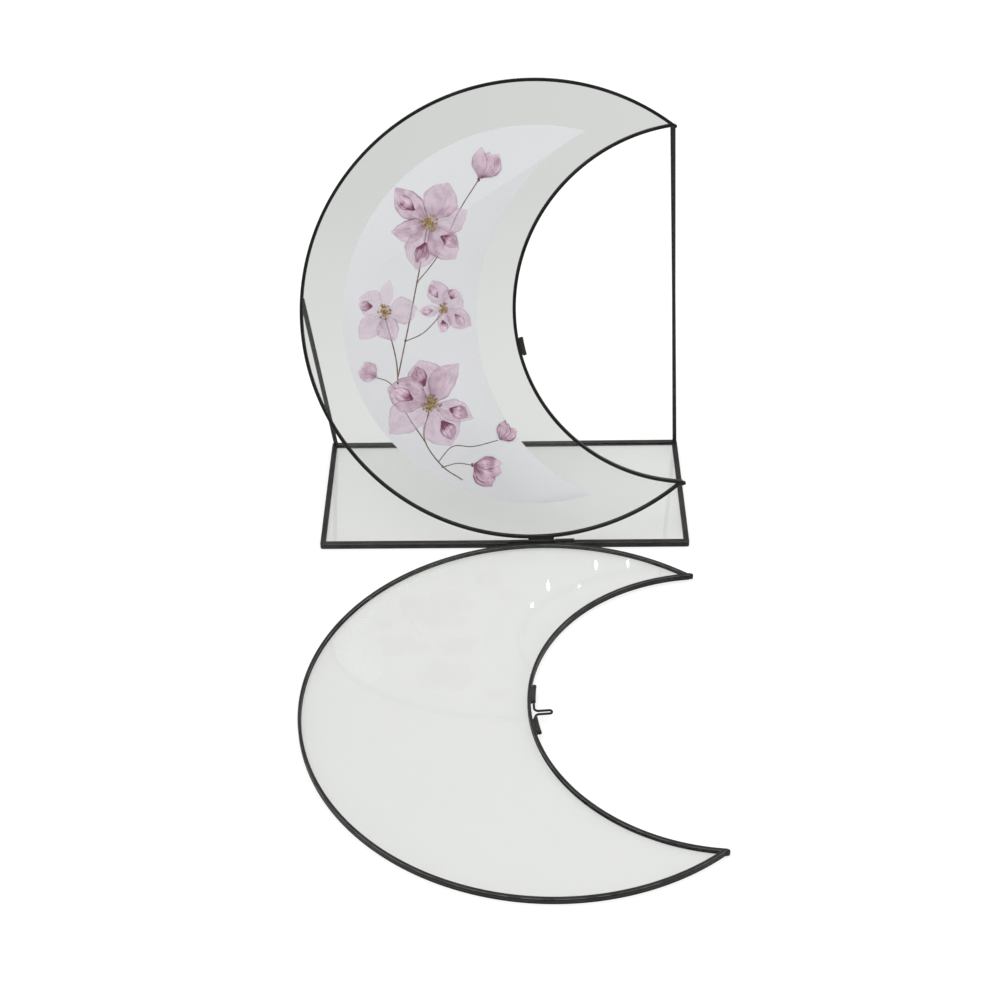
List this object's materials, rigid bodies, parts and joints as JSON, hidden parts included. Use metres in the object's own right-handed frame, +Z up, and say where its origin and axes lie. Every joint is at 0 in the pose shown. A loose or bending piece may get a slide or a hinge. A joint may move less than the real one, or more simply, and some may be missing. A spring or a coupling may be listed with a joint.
{
  "type": "picture frame",
  "caption": "Tabletop picture frame: leaning crescent glass panel on a flat glazed base with wire stays, and a matching glass door hinged at its foot with a small sliding bolt.",
  "frame": {"origin": "on the table, on the underside of the front bar of the base, under the centre of the crescent's outer arc", "axes": "+Z up, +X along the hinge line towards the open mouth of the crescent, +Y from the viewer to the back of the frame"},
  "size_m": [0.1879, 0.3114, 0.2099],
  "materials": {
    "base_came": "thin satin charcoal-black patina on folded sheet",
    "leaf_came": "thin satin charcoal-black patina on folded sheet",
    "stay": "satin charcoal-black round wire",
    "tube": "satin charcoal-black small tube",
    "solder": "blackened solder, slightly lumpy",
    "pin": "drawn steel wire",
    "latch_wire": "satin charcoal-black thin wire",
    "panel_glass": "clear float glass, polished",
    "door_glass": "clear float glass, polished",
    "base_glass": "clear float glass, polished",
    "card": "smooth matte white card with a soft pressed-flower print"
  },
  "bodies": {
    "frame": {"base_bar_front": "base_came", "base_bar_right": "base_came", "base_bar_rear": "base_came", "base_bar_left": "base_came", "base_glass": "base_glass", "panel_came_outer": "leaf_came", "panel_came_inner": "leaf_came", "panel_glass": "panel_glass", "panel_tip_solder": "solder", "picture_card": "card", "stay_right": "stay", "stay_left": "stay", "stay_solder": "solder", "hinge_knuckle_fixed": "tube", "hinge_pin": "pin", "hinge_foot_solder": "solder", "catch_tube": "tube", "catch_solder": "solder"},
    "door": {"door_came_outer": "leaf_came", "door_came_inner": "leaf_came", "door_glass": "door_glass", "door_tip_solder": "solder", "hinge_knuckle_left": "tube", "hinge_knuckle_right": "tube", "hinge_leaf_solder": "solder", "latch_sleeve_lower": "tube", "latch_sleeve_upper": "tube", "latch_sleeve_solder": "solder"},
    "latch_bolt": {"latch_wire": "latch_wire"}
  },
  "joints": [
    {"name": "door_hinge", "type": "hinge", "parent": "frame", "child": "door", "pos_m": [0.0022, -0.0012, 0.0043], "axis": [-1, 0, 0], "range_deg": [0, 112.9]},
    {"name": "bolt_travel", "type": "hinge", "parent": "door", "child": "latch_bolt", "pos_m": [0.07768, -0.11483, 0.00371], "axis": [0, 0.0052, -1], "range_deg": [0, 2.25]}
  ]
}
